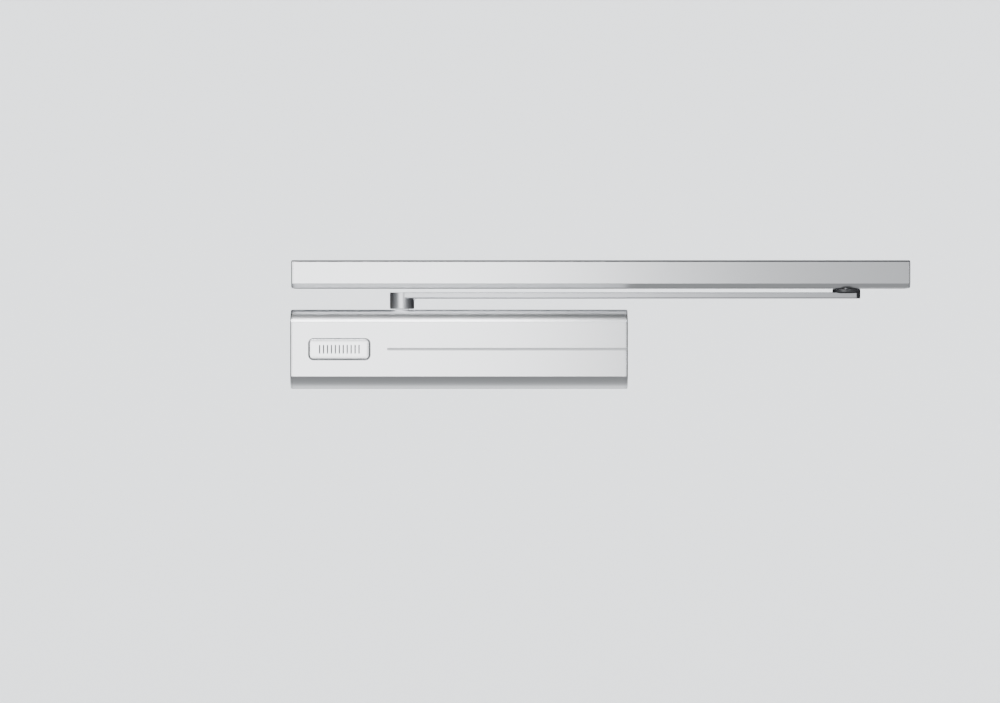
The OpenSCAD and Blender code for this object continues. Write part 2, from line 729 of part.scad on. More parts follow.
function mount_x(side) = side > 0 ? rail_x + rail_l - mount_from_end : rail_x + mount_from_end;

// Where a locking screw goes up through the rail's floor into its mounting block
module lock_place(side) translate([mount_x(side) - mount_l / 3, -chamber_d / 2, rail_z]) children();

module rail_mount(side) difference() {
    h = rail_h - 2 * rail_top_t - 2 * slide_gap;
    translate([mount_x(side) - mount_l / 2, -chamber_d + slide_gap, rail_z + rail_top_t + slide_gap])
        cube([mount_l, chamber_d - slide_gap, h]);
    along_y(mount_x(side), eps, rail_z + rail_h / 2, chamber_d + 1, rail_hole_d / 2);
    lock_place(side) cylinder(h = 8, r = 2.5);
}

module rail_mount_left() color("Silver") rail_mount(0);
module rail_mount_right() color("Silver") rail_mount(1);

module rail_lock_screws() color("DimGray") for (side = [0, 1]) lock_place(side)
    translate([0, 0, 0.4]) difference() {
        cylinder(h = 7, r = 2.5);
        translate([0, 0, -eps]) hexagon(2.5, 2.5);
    }

// ---- nodes --------------------------------------------------------------

housing();
end_plug_left();
end_plug_right();
plug_seals();
channel_balls();
cam_spindle();
bearing_carrier();
upper_bearing();
lower_bearing();
upper_shaft_seal();
lower_shaft_seal();
closing_piston();
closing_roller();
closing_roller_axle();
check_valve();
damping_piston();
damping_roller();
damping_roller_axle();
relief_valve();
closing_spring();
follower_spring();
spring_seat();
spring_adjust_screw();
closing_speed_valve();
latch_speed_valve();
backcheck_valve();
valve_seals();
cover_shell();
cover_cap_left();
cover_cap_right();
cover_clips();
badge();
lower_slot_insert();
arm();
arm_screw();
arm_end_bush();
slider_block();
slider_pin();
slider_clip();
rail_profile();
rail_cap_left();
rail_cap_right();
rail_mount_left();
rail_mount_right();
rail_lock_screws();
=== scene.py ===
"""Looks of a door closer with a guide rail: meshes, materials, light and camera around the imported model."""

import json
import math

import bmesh
import bpy
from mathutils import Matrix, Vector


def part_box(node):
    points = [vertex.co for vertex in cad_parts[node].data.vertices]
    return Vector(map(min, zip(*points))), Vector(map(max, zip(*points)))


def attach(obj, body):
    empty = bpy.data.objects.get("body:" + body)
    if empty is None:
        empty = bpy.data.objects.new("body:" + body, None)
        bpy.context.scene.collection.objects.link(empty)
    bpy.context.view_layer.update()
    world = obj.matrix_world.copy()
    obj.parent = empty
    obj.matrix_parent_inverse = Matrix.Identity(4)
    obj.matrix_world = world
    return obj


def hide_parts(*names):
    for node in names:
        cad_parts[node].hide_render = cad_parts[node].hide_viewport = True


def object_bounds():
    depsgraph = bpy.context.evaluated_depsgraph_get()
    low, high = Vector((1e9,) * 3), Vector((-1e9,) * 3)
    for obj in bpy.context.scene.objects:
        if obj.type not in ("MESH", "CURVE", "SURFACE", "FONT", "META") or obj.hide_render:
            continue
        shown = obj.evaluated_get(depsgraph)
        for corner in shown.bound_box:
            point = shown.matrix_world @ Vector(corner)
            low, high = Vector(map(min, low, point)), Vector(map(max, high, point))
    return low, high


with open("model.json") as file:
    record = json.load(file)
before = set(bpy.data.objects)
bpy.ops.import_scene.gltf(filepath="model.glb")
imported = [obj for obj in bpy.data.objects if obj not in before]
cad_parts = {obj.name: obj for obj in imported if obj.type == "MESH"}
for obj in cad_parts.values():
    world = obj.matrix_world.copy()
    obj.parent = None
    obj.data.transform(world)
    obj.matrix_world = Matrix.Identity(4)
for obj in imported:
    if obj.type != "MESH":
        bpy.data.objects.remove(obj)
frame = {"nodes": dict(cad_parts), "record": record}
cad_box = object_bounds()

MM = 0.001
KEEN = 0.001 * MM            # edge rounding where an edge is meant to be sharp
SEAM = 0.02 * MM             # what separates the meshes of two pieces that touch
FINE_EDGE = 0.12 * MM        # rounding of an edge that meets another piece

# Cover
PANEL_H = 38.6 * MM          # height of the flat front panel
MARGIN_D = 11 * MM           # depth of the rounded margins above and below it
MARGIN_BULGE = 1.6 * MM      # how far a margin bulges beyond a flat bevel
CREASE_R = 0.8 * MM          # rounding where a margin meets the panel
COVER_WALL = 1.6 * MM
CAP_ROUND = 1.1 * MM         # rounding of the end caps' outer edges
GROOVE_H = 2 * MM
GROOVE_DEPTH = 0.5 * MM
GROOVE_FROM_BADGE = 13.2 * MM
SLOT_R = 8.5 * MM            # slot that lets the cover slide past the spindle
BADGE_GAP = 0.4 * MM
BADGE_RECESS = 0.5 * MM
BADGE_CORNER_R = 3.4 * MM
RIM_W = 1.4 * MM             # the badge's rim, in its face and in depth
RIM_D = 0.75 * MM
CROWN_W = 1.8 * MM           # the badge's crown inside the rim
CROWN_D = 0.15 * MM
PEG_R = 1.4 * MM
BADGE_MARKS = 11
MARK_PITCH = 2.8 * MM
MARK_W = 1 * MM
MARK_H = 6.4 * MM
MARK_D = 0.25 * MM
MARK_FIT = 0.98              # keeps a mark's end arcs from meeting
FULL_ROUND = 0.999           # the same for the spindle slot's corners

# Arm
BAR_T = 4.4 * MM
BAR_W = 15 * MM
BAR_EDGE_R = 0.9 * MM
FLARE_SHARE = 0.12           # share of the arm's length where the bar narrows from the hub's width to BAR_W
TAPER_SHARE = 0.88           # share of it where the bar reaches TIP_W
TIP_W = 14 * MM
NECK_REACH = 3 * MM          # how far the hub's side runs out under the bar
NECK_DROP = 3 * MM
NECK_W = 4 * MM
SQUARE_W = 9.9 * MM
SCREW_HOLE_R = 4.2 * MM
SCREW_RECESS_R = 6.8 * MM
SCREW_RECESS_DEPTH = 2.8 * MM
BUSH_R = 6 * MM
BUSH_FLANGE_R = 10 * MM
PIN_HOLE_R = 3.55 * MM
PIN_HEAD_R = 5 * MM

# Guide rail
CHANNEL_W = 17.8 * MM
SLOT_W = 10 * MM
RAIL_LIP = 2.2 * MM
RAIL_TOP_T = 1.8 * MM
RAIL_WALL = 1.6 * MM
RAIL_BEVEL_TOP = 1.4 * MM
RAIL_BEVEL_LOW = (2.4 * MM, 3.2 * MM)
RAIL_ROUND = 0.35 * MM
LOCK_HOLE_R = 2.55 * MM

BODY_OF = {node: body for body, nodes in frame["record"]["behaviour"]["bodies"].items() for node in nodes}
SLOT_OF = {part["node"]: part["material_slot"] for part in frame["record"]["subparts"]}
JOINT_AT = {j["name"]: Vector(j["pos_m"]) for j in frame["record"]["behaviour"]["joints"] if "pos_m" in j}
SPINDLE = JOINT_AT["spindle_swing"]
PIVOT = JOINT_AT["slider_pivot"]


# ---- mesh helpers ---------------------------------------------------------

def add_mesh(name, verts, faces, sharp_deg=32):
    """A closed mesh with outward normals, smooth apart from edges sharper than sharp_deg."""
    mesh = bpy.data.meshes.new(name)
    mesh.from_pydata([tuple(v) for v in verts], [], faces)
    bm = bmesh.new()
    bm.from_mesh(mesh)
    bmesh.ops.remove_doubles(bm, verts=bm.verts, dist=1e-7)
    bmesh.ops.recalc_face_normals(bm, faces=bm.faces)
    bm.to_mesh(mesh)
    bm.free()
    shade(mesh, sharp_deg)
    obj = bpy.data.objects.new(name, mesh)
    bpy.context.scene.collection.objects.link(obj)
    return obj


def shade(mesh, sharp_deg=32):
    mesh.shade_smooth()
    mesh.set_sharp_from_angle(angle=math.radians(sharp_deg))


def loft(name, rings, cyclic=False, sharp_deg=32):
    """Joins rings of the same number of points, and closes the two ends unless the rings go round."""
    size = len(rings[0])
    count = len(rings)
    faces = []
    for i in range(count if cyclic else count - 1):
        a, b = i * size, (i + 1) % count * size
        for k in range(size):
            m = (k + 1) % size
            faces.append((a + k, a + m, b + m, b + k))
    if not cyclic:
        faces.append(tuple(range(size - 1, -1, -1)))
        faces.append(tuple(range((count - 1) * size, count * size)))
    return add_mesh(name, [p for ring in rings for p in ring], faces, sharp_deg)


def round_corners(points, steps=4):
    """A loop of (a, b, radius) corners as points, with each corner of a radius above 0 rounded."""
    loop = []
    for i, (a, b, radius) in enumerate(points):
        corner = Vector((a, b))
        if radius <= 0:
            loop.append(corner)
            continue
        before = (Vector(points[i - 1][:2]) - corner).normalized()
        after = (Vector(points[(i + 1) % len(points)][:2]) - corner).normalized()
        half = before.angle(after) / 2
        centre = corner + (before + after).normalized() * (radius / math.sin(half))
        start = corner + before * (radius / math.tan(half)) - centre
        end = corner + after * (radius / math.tan(half)) - centre
        for k in range(steps + 1):
            loop.append(centre + start.lerp(end, k / steps).normalized() * radius)
    return loop


def inset(loop, depth):
    """The loop moved inwards by depth. A rounded corner whose radius is less than depth ends sharp."""
    area = sum(a.x * b.y - b.x * a.y for a, b in zip(loop, loop[1:] + loop[:1]))
    side = 1 if area > 0 else -1
    moved = []
    for i, point in enumerate(loop):
        into = (point - loop[i - 1]).normalized()
        out = (loop[(i + 1) % len(loop)] - point).normalized()
        normal = Vector((-into.y - out.y, into.x + out.x)).normalized() * side
        share = max(normal.dot(Vector((-into.y, into.x)) * side), 0.5)
        moved.append(point + normal * (depth / share))
    size = len(loop)
    turned = []
    for i in range(size):
        after = (i + 1) % size
        turned.append((moved[after] - moved[i]).dot(loop[after] - loop[i]) < -1e-12)
    for i in range(size):
        if turned[i] and not turned[i - 1]:
            last = i
            while turned[last % size]:
                last += 1
            into = loop[i] - loop[i - 1]
            out = loop[(last + 1) % size] - loop[last % size]
            gap = moved[last % size] - moved[i]
            corner = moved[i] + into * (gap.cross(out) / into.cross(out))
            for k in range(i, last + 1):
                moved[k % size] = corner
    return moved


def rounded_ends(start, end, edge_start, edge_end, steps=4):
    """(position, inset) stations of a prism from start to end whose two ends are rounded."""
    sign = 1 if end > start else -1
    stations = []
    for k in range(steps + 1):
        turn = math.pi / 2 * k / steps
        position = start + sign * edge_start * (1 - math.cos(turn))
        stations.append((position, edge_start * (1 - math.sin(turn))))
    for k in range(steps, -1, -1):
        turn = math.pi / 2 * k / steps
        position = end - sign * edge_end * (1 - math.cos(turn))
        stations.append((position, edge_end * (1 - math.sin(turn))))
    return stations


def prism(name, loop, axis, start, end, edge_start=0.1 * MM, edge_end=0.1 * MM, steps=3):
    """A loop of two coordinates drawn out along axis ("x", "y" or "z"), with rounded ends."""
    place = {
        "x": lambda p, s: (s, p.x, p.y),
        "y": lambda p, s: (p.x, s, p.y),
        "z": lambda p, s: (p.x, p.y, s),
    }[axis]
    rings = []
    for position, depth in rounded_ends(start, end, edge_start, edge_end, steps):
        rings.append([place(p, position) for p in inset(loop, depth)])
    return loft(name, rings)


def circle(radius, centre=(0, 0), count=96):
    return [Vector((centre[0] + radius * math.cos(2 * math.pi * k / count),
                    centre[1] + radius * math.sin(2 * math.pi * k / count))) for k in range(count)]


def lathe(name, centre, profile, count=96):
    """A closed profile of (radius, z) points turned about the vertical line through centre."""
    rings = [[(p.x + centre.x, p.y + centre.y, z) for p in circle(r, count=count)] for r, z in profile]
    return loft(name, rings, cyclic=True)


def disc(name, centre, radius, low, high, edge=0.2 * MM, count=96):
    """An upright cylinder with rounded edges."""
    return prism(name, circle(radius, (centre.x, centre.y), count), "z", low, high, edge, edge)


def plain_box(name, low, high):
    corners = [(low[0], low[1]), (high[0], low[1]), (high[0], high[1]), (low[0], high[1])]
    return prism(name, [Vector(c) for c in corners], "z", low[2], high[2], KEEN, KEEN, steps=1)


def combine(obj, other, operation):
    """Cuts, joins or intersects obj with other, which is used up."""
    modifier = obj.modifiers.new(operation.lower(), "BOOLEAN")
    modifier.operation = operation
    modifier.solver = "EXACT"
    modifier.object = other
    graph = bpy.context.evaluated_depsgraph_get()
    mesh = bpy.data.meshes.new_from_object(obj.evaluated_get(graph))
    obj.modifiers.clear()
    old = obj.data
    obj.data = mesh
    bpy.data.meshes.remove(old)
    bpy.data.objects.remove(other)
    shade(mesh)
    return obj


def soften(obj, width, segments=2, angle_deg=35):
    """Rounds an object's sharp edges with modifiers."""
    weld = obj.modifiers.new("weld", "WELD")
    weld.merge_threshold = 1e-6
    bevel = obj.modifiers.new("bevel", "BEVEL")
    bevel.width = width
    bevel.segments = segments
    bevel.limit_method = "ANGLE"
    bevel.angle_limit = math.radians(angle_deg)
    bevel.use_clamp_overlap = True
    bevel.miter_outer = "MITER_ARC"
    normals = obj.modifiers.new("normals", "WEIGHTED_NORMAL")
    normals.keep_sharp = True
    return obj


def stand_for(obj, node):
    """obj takes a CAD node's place, body and finish."""
    normals = obj.modifiers.new("normals", "WEIGHTED_NORMAL")
    normals.keep_sharp = True
    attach(obj, BODY_OF[node])
    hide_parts(node)
    obj.data.materials.clear()
    obj.data.materials.append(material_of(SLOT_OF[node]))
    return obj


# ---- materials ------------------------------------------------------------

def surface(name, color, roughness, metallic, grain, rough_spread, bump, tint, mottle_scale=35, detail=4.0):
    """A material with fine grain, which sets its bump and gloss, and a broad, faint change of colour.

    grain is the noise's scale along X, Y and Z: unequal numbers draw it out into brushing.
    """
    material = bpy.data.materials.new(name)
    material.use_nodes = True
    nodes, links = material.node_tree.nodes, material.node_tree.links
    shader = nodes["Principled BSDF"]
    shader.inputs["Metallic"].default_value = metallic
    where = nodes.new("ShaderNodeTexCoord")
    stretch = nodes.new("ShaderNodeMapping")
    stretch.inputs["Scale"].default_value = grain
    links.new(where.outputs["Object"], stretch.inputs["Vector"])
    fine = nodes.new("ShaderNodeTexNoise")
    fine.inputs["Scale"].default_value = 1.0
    fine.inputs["Detail"].default_value = detail
    links.new(stretch.outputs["Vector"], fine.inputs["Vector"])
    gloss = nodes.new("ShaderNodeMapRange")
    gloss.inputs["To Min"].default_value = roughness - rough_spread
    gloss.inputs["To Max"].default_value = roughness + rough_spread
    links.new(fine.outputs["Fac"], gloss.inputs["Value"])
    links.new(gloss.outputs["Result"], shader.inputs["Roughness"])
    relief = nodes.new("ShaderNodeBump")
    relief.inputs["Strength"].default_value = bump
    relief.inputs["Distance"].default_value = 0.1 * MM
    links.new(fine.outputs["Fac"], relief.inputs["Height"])
    links.new(relief.outputs["Normal"], shader.inputs["Normal"])
    broad = nodes.new("ShaderNodeTexNoise")
    broad.inputs["Scale"].default_value = mottle_scale
    broad.inputs["Detail"].default_value = 2.0
    links.new(where.outputs["Object"], broad.inputs["Vector"])
    blend = nodes.new("ShaderNodeMix")
    blend.data_type = "RGBA"
    blend.inputs["A"].default_value = (*[c * (1 - tint) for c in color], 1)
    blend.inputs["B"].default_value = (*[min(c * (1 + tint), 1) for c in color], 1)
    links.new(broad.outputs["Fac"], blend.inputs["Factor"])
    links.new(blend.outputs["Result"], shader.inputs["Base Color"])
    return material


def worn(material, color, amount):
    """Adds bare metal along the sharpest edges of a lacquered piece."""
    nodes, links = material.node_tree.nodes, material.node_tree.links
    shader = nodes["Principled BSDF"]
    shape = nodes.new("ShaderNodeNewGeometry")
    edge = nodes.new("ShaderNodeMapRange")
    edge.inputs["From Min"].default_value = 0.54
    edge.inputs["From Max"].default_value = 0.62
    edge.inputs["To Max"].default_value = amount
    links.new(shape.outputs["Pointiness"], edge.inputs["Value"])
    blend = nodes.new("ShaderNodeMix")
    blend.data_type = "RGBA"
    source = shader.inputs["Base Color"].links[0].from_socket
    links.new(source, blend.inputs["A"])
    blend.inputs["B"].default_value = (*color, 1)
    links.new(edge.outputs["Result"], blend.inputs["Factor"])
    links.new(blend.outputs["Result"], shader.inputs["Base Color"])
    return material


def anodised_aluminium(name):
    return surface(name, (0.80, 0.81, 0.83), 0.3, 1.0, (3000, 3000, 3000), 0.03, 0.05, 0.012)


def end_cap_silver(name):
    return worn(surface(name, (0.72, 0.73, 0.75), 0.26, 0.97, (2600, 2600, 2600), 0.04, 0.05, 0.02),
                (0.85, 0.86, 0.87), 0.5)


def cast_aluminium(name):
    return surface(name, (0.60, 0.61, 0.62), 0.52, 0.95, (900, 900, 900), 0.10, 0.25, 0.06)


def arm_silver(name):
    return worn(surface(name, (0.60, 0.61, 0.635), 0.36, 1.0, (2400, 2400, 2400), 0.05, 0.06, 0.03),
                (0.86, 0.87, 0.88), 0.6)


def machined_steel(name):
    return surface(name, (0.56, 0.57, 0.58), 0.30, 1.0, (2400, 300, 300), 0.08, 0.10, 0.04)


def hardened_steel(name):
    return surface(name, (0.42, 0.43, 0.45), 0.22, 1.0, (300, 300, 2400), 0.06, 0.06, 0.05)


def spring_steel(name):
    return surface(name, (0.16, 0.165, 0.17), 0.38, 0.9, (1200, 1200, 1200), 0.10, 0.12, 0.10)


def zinc_steel(name):
    return surface(name, (0.66, 0.67, 0.69), 0.28, 1.0, (1300, 1300, 1300), 0.07, 0.08, 0.05)


def valve_brass(name):
    return surface(name, (0.78, 0.60, 0.30), 0.28, 1.0, (2400, 300, 300), 0.06, 0.06, 0.05)


def seal_rubber(name):
    return surface(name, (0.022, 0.022, 0.023), 0.62, 0.0, (1600, 1600, 1600), 0.10, 0.15, 0.15)


def black_plastic(name):
    return surface(name, (0.022, 0.023, 0.025), 0.34, 0.0, (2200, 2200, 2200), 0.06, 0.10, 0.12)


def badge_silver(name):
    return surface(name, (0.83, 0.84, 0.86), 0.22, 1.0, (3000, 3000, 3000), 0.03, 0.04, 0.02)


def badge_ink(name):
    return surface(name, (0.05, 0.052, 0.058), 0.5, 0.0, (2600, 2600, 2600), 0.05, 0.06, 0.08)


MAKERS = {f.__name__: f for f in (
    anodised_aluminium, end_cap_silver, cast_aluminium, arm_silver, machined_steel, hardened_steel,
    spring_steel, zinc_steel, valve_brass, seal_rubber, black_plastic, badge_silver, badge_ink)}


MADE = {}


def material_of(slot):
    if slot not in MADE:
        MADE[slot] = MAKERS[slot](slot + "_finish")
    return MADE[slot]


# ---- cover ----------------------------------------------------------------

shell_low, shell_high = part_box("cover_shell")
COVER_H = shell_high[2] - shell_low[2]
FRONT_Y = shell_low[1]
badge_low, badge_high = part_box("badge")
GROOVE_X = badge_high[0] + GROOVE_FROM_BADGE
# The groove's section from its steep upper side down: shares of half its height and of its depth.
GROOVE_SHAPE = ((1, 0), (0.9, 0.75), (0.74, 1), (0.5, 0.9), (0.1, 0.62), (-0.4, 0.3), (-0.75, 0.1), (-1, 0))


def margin_arc(t):
    """Points of the upper margin's arc, from the top to the panel, on a skin t inside the cover's face."""
    rise = (COVER_H - PANEL_H) / 2
    chord = math.hypot(MARGIN_D, rise)
    radius = chord ** 2 / (8 * MARGIN_BULGE) + MARGIN_BULGE / 2
    reach = radius - MARGIN_BULGE
    centre = Vector((FRONT_Y + MARGIN_D / 2 + reach * rise / chord,
                     (COVER_H + PANEL_H) / 4 - reach * MARGIN_D / chord))
    first = math.pi - math.asin((COVER_H / 2 - t - centre.y) / (radius - t))
    last = math.acos((FRONT_Y + t - centre.x) / (radius - t))
    steps = 26
    angles = [first + (last - first) * i / steps for i in range(steps + 1)]
    return [centre + Vector((math.cos(a), math.sin(a))) * (radius - t) for a in angles]


def outer_skin(x):
    """The cover's face at x, from back top to back bottom, with the groove in the panel."""
    arc = margin_arc(0)
    half_h = COVER_H / 2
    points = [(0, half_h, 0)] + [(p.x, p.y, 0) for p in arc[:-1]] + [(arc[-1].x, arc[-1].y, CREASE_R)]
    upper = round_corners(points + [(FRONT_Y, 0, 0)], steps=6)[:-1]
    swell = min(max((x - GROOVE_X) / (GROOVE_H / 2) + 1, 0), 1)
    share = math.sqrt(max(1 - (1 - swell) ** 2, 0))
    height = GROOVE_H / 2 * (share if share > 0 else 1)
    depth = GROOVE_DEPTH * share
    groove = [Vector((FRONT_Y + d * depth, s * height)) for s, d in GROOVE_SHAPE]
    lower = [Vector((p.x, -p.y)) for p in reversed(upper)]
    return upper + groove + lower


def inner_skin():
    arc = margin_arc(COVER_WALL)
    top = COVER_H / 2 - COVER_WALL
    upper = [Vector((0, top))] + arc
    lower = [Vector((p.x, -p.y)) for p in reversed(upper)]
    return list(reversed(upper + lower))


def shell_stations():
    stations = rounded_ends(shell_low[0], shell_high[0], FINE_EDGE, FINE_EDGE, steps=2)
    middle = len(stations) // 2
    groove = [GROOVE_X - GROOVE_H / 2 * (1 - k / 8) for k in range(9)]
    return stations[:middle] + [(x, 0) for x in groove] + stations[middle:]


def make_cover_shell():
    rings = []
    for x, depth in shell_stations():
        section = outer_skin(x) + inner_skin()
        rings.append([(x, p.x, p.y) for p in inset(section, depth)])
    shell = loft("cover_shell_skin", rings, sharp_deg=28)
    left, right = SPINDLE.x - SLOT_R, SPINDLE.x + SLOT_R
    front, back = SPINDLE.y - SLOT_R, 1 * MM
    r = SLOT_R * FULL_ROUND
    slot = round_corners([(left, back, 0), (left, front, r), (right, front, r), (right, back, 0)], steps=16)
    for z in (COVER_H / 2, -COVER_H / 2):
        combine(shell, prism("slot_cutter", slot, "z", z - 4 * MM, z + 4 * MM, KEEN, KEEN), "DIFFERENCE")
    pocket = badge_plate("pocket_cutter", BADGE_GAP, FRONT_Y - 1 * MM, FRONT_Y + BADGE_RECESS)
    combine(shell, pocket, "DIFFERENCE")
    stand_for(shell, "cover_shell")
    # The pocket's floor gets the dark badge_ink finish: painted shade, standing in for the shade in the
    # narrow gap round the badge.
    shell.data.materials.append(material_of("badge_ink"))
    for face in shell.data.polygons:
        in_badge = badge_low[0] - 1 * MM < face.center.x < badge_high[0] + 1 * MM
        if in_badge and face.normal.y < -0.9 and abs(face.center.y - FRONT_Y - BADGE_RECESS) < 0.05 * MM:
            face.material_index = len(shell.data.materials) - 1


def plate_loop(grow=0.0, steps=10):
    """Outline of the badge as (x, z) points."""
    low_x, high_x = badge_low[0] - grow, badge_high[0] + grow
    half = (badge_high[2] - badge_low[2]) / 2 + grow
    r = BADGE_CORNER_R + grow
    corners = [(low_x, -half, r), (high_x, -half, r), (high_x, half, r), (low_x, half, r)]
    return round_corners(corners, steps)


def badge_plate(name, grow, front, back):
    return prism(name, plate_loop(grow), "y", front, back, KEEN, KEEN, steps=1)


def make_badge():
    loop = plate_loop(-0.1 * MM)
    front = badge_low[1]
    rings = [[(p.x, FRONT_Y + BADGE_RECESS, p.y) for p in inset(loop, 0.1 * MM)]]
    for k in range(7):
        turn = math.pi / 2 * k / 6
        y = front + CROWN_D + RIM_D * (1 - math.sin(turn))
        rings.append([(p.x, y, p.y) for p in inset(loop, RIM_W * (1 - math.cos(turn)))])
    for k in range(1, 6):
        share = k / 5
        y = front + CROWN_D * (1 - share) ** 2
        rings.append([(p.x, y, p.y) for p in inset(loop, RIM_W + CROWN_W * share)])
    plate = loft("badge_plate", rings, sharp_deg=50)
    middle = (badge_low[0] + badge_high[0]) / 2
    for side in (-1, 1):
        x = middle + side * (badge_high[0] - badge_low[0]) / 4
        outline = circle(PEG_R, (x, 0), 32)
        peg = prism("peg", outline, "y", FRONT_Y + 0.4 * MM, FRONT_Y + 1.4 * MM, KEEN, 0.1 * MM)
        combine(plate, peg, "UNION")
    for i in range(BADGE_MARKS):
        x = middle + (i - (BADGE_MARKS - 1) / 2) * MARK_PITCH
        half, r = MARK_W / 2 * MARK_FIT, MARK_W / 2 * MARK_FIT * MARK_FIT
        corners = [(x - half, -MARK_H / 2, r), (x + half, -MARK_H / 2, r),
                   (x + half, MARK_H / 2, r), (x - half, MARK_H / 2, r)]
        outline = round_corners(corners, 5)
        mark = prism("mark", outline, "y", front - 1 * MM, front + MARK_D, KEEN, KEEN, steps=1)
        combine(plate, mark, "DIFFERENCE")
    stand_for(plate, "badge")
    plate.data.materials.append(material_of("badge_ink"))
    for face in plate.data.polygons:
        c = face.center
        in_marks = abs(c.z) < MARK_H / 2 - 1e-5 and abs(c.x - middle) < BADGE_MARKS * MARK_PITCH / 2
        if in_marks and front + 0.02 * MM < c.y < front + MARK_D + 0.05 * MM:
            face.material_index = 1


def make_cover_cap(node, side):
    low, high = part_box(node)
    plate_t = (high[0] - low[0]) - 4 * MM
    outside = high[0] if side > 0 else low[0]
    inside = outside - side * plate_t
    x = inside + side * SEAM
    loop = outer_skin(x if side > 0 else shell_low[0])
    rings = []
    for position, depth in rounded_ends(x, outside, FINE_EDGE, CAP_ROUND, steps=6):
        rings.append([(position, p.x, p.y) for p in inset(loop, depth)])
    cap = loft(node + "_plate", rings, sharp_deg=40)
    tongue_z = COVER_H / 2 - COVER_WALL
    for up in (-1, 1):
        z0, z1 = sorted((up * (tongue_z - 1 * MM), up * (tongue_z - SEAM)))
        x0, x1 = sorted((inside - side * 4 * MM, inside + side * 0.3 * MM))
        combine(cap, plain_box("tongue", (x0, -24 * MM, z0), (x1, -8 * MM, z1)), "UNION")
    stand_for(cap, node)


# ---- arm ------------------------------------------------------------------

arm_low, arm_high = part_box("arm")
HUB_R = (arm_high[1] - arm_low[1]) / 2
BAR_LOW = arm_high[2] - BAR_T


def bar_section(width):
    """Section of the bar as (y, z) points."""
    r = BAR_EDGE_R
    front, back = SPINDLE.y - width / 2, SPINDLE.y + width / 2
    low, high = BAR_LOW, arm_high[2]
    return round_corners([(front, low, r), (back, low, r), (back, high, r), (front, high, r)], 5)


def make_arm():
    arm = disc("arm_forging", SPINDLE, HUB_R, arm_low[2], arm_high[2], 0.5 * MM, 128)
    reach = arm_high[0] - SPINDLE.x
    # How far along the arm, how wide there, and how far inset.
    stations = [(0, 2 * HUB_R - 0.4 * MM, 0), (reach * FLARE_SHARE, BAR_W, 0),
                (reach * TAPER_SHARE, TIP_W, 0), (reach - 0.5 * MM, TIP_W, 0),
                (reach - 0.2 * MM, TIP_W, 0.14 * MM), (reach, TIP_W, 0.5 * MM)]
    rings = [[(SPINDLE.x + x, p.x, p.y) for p in inset(bar_section(w), d)] for x, w, d in stations]
    combine(arm, loft("bar", rings), "UNION")
    start = math.sqrt(HUB_R ** 2 - (BAR_W / 2 - 0.8 * MM) ** 2) - 0.5 * MM
    curve = [Vector((start, BAR_LOW + 1 * MM)), Vector((start, BAR_LOW - NECK_DROP))]
    for k in range(15):
        turn = math.pi / 2 * k / 14
        x = HUB_R - 0.25 * MM + NECK_REACH * (1 - math.cos(turn))
        curve.append(Vector((x, BAR_LOW - NECK_DROP * (1 - math.sin(turn)))))
    curve.append(Vector((HUB_R + NECK_REACH + 0.4 * MM, BAR_LOW + 1 * MM)))
    neck = [Vector((SPINDLE.x + p.x, p.y)) for p in curve]
    half = NECK_W / 2
    wedge = prism("neck", neck, "y", SPINDLE.y - half, SPINDLE.y + half, 0.3 * MM, 0.3 * MM)
    combine(arm, wedge, "UNION")
    recess_low = arm_high[2] - SCREW_RECESS_DEPTH
    recess = disc("recess", SPINDLE, SCREW_RECESS_R, recess_low, arm_high[2] + 2 * MM, KEEN)
    combine(arm, recess, "DIFFERENCE")
    hole = disc("hole", SPINDLE, SCREW_HOLE_R, arm_low[2] - 1 * MM, arm_high[2], KEEN)
    combine(arm, hole, "DIFFERENCE")
    square_top = recess_low - 2 * MM
    h = SQUARE_W / 2
    square = plain_box("square", (SPINDLE.x - h, SPINDLE.y - h, arm_low[2] - 1 * MM),
                       (SPINDLE.x + h, SPINDLE.y + h, square_top))
    combine(arm, square, "DIFFERENCE")
    eye = disc("eye", PIVOT, BUSH_R, BAR_LOW - 1 * MM, arm_high[2] + 1 * MM, KEEN)
    combine(arm, eye, "DIFFERENCE")
    stand_for(arm, "arm")


def make_arm_end_bush():
    low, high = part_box("arm_end_bush")
    flange_low = arm_high[2]
    r = 0.35 * MM
    profile = [(PIN_HEAD_R, low[2]), (BUSH_R - 0.01 * MM, low[2]), (BUSH_R - 0.01 * MM, flange_low),
               (BUSH_FLANGE_R - r, flange_low + 0.02 * MM),
               (BUSH_FLANGE_R - 0.1 * MM, flange_low + 0.12 * MM), (BUSH_FLANGE_R, flange_low + r)]
    for k in range(6):
        turn = math.pi / 2 * k / 5
        edge_r = BUSH_FLANGE_R - 2 * r * (1 - math.cos(turn))
        profile.append((edge_r, high[2] - 2 * r * (1 - math.sin(turn))))
    profile += [(PIN_HOLE_R + 0.3 * MM, high[2]), (PIN_HOLE_R, high[2] - 0.3 * MM),
                (PIN_HOLE_R, low[2] + 1.7 * MM), (PIN_HEAD_R, low[2] + 1.7 * MM)]
    bush = lathe("arm_end_bush_turned", PIVOT, profile)
    cut = arm_high[0] - PIVOT.x + 0.02 * MM
    span = math.acos(cut / BUSH_FLANGE_R)
    steps = 20
    loop = []
    for k in range(steps + 1):
        turn = -span + 2 * span * k / steps
        loop.append(Vector(PIVOT[:2]) + BUSH_FLANGE_R * Vector((math.cos(turn), math.sin(turn))))
    tip = prism("tip", loop, "z", low[2], flange_low + 1 * MM, 0.4 * MM, 0.01 * MM)
    combine(bush, tip, "UNION")
    stand_for(bush, "arm_end_bush")


# ---- guide rail -----------------------------------------------------------

rail_low, rail_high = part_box("rail_profile")


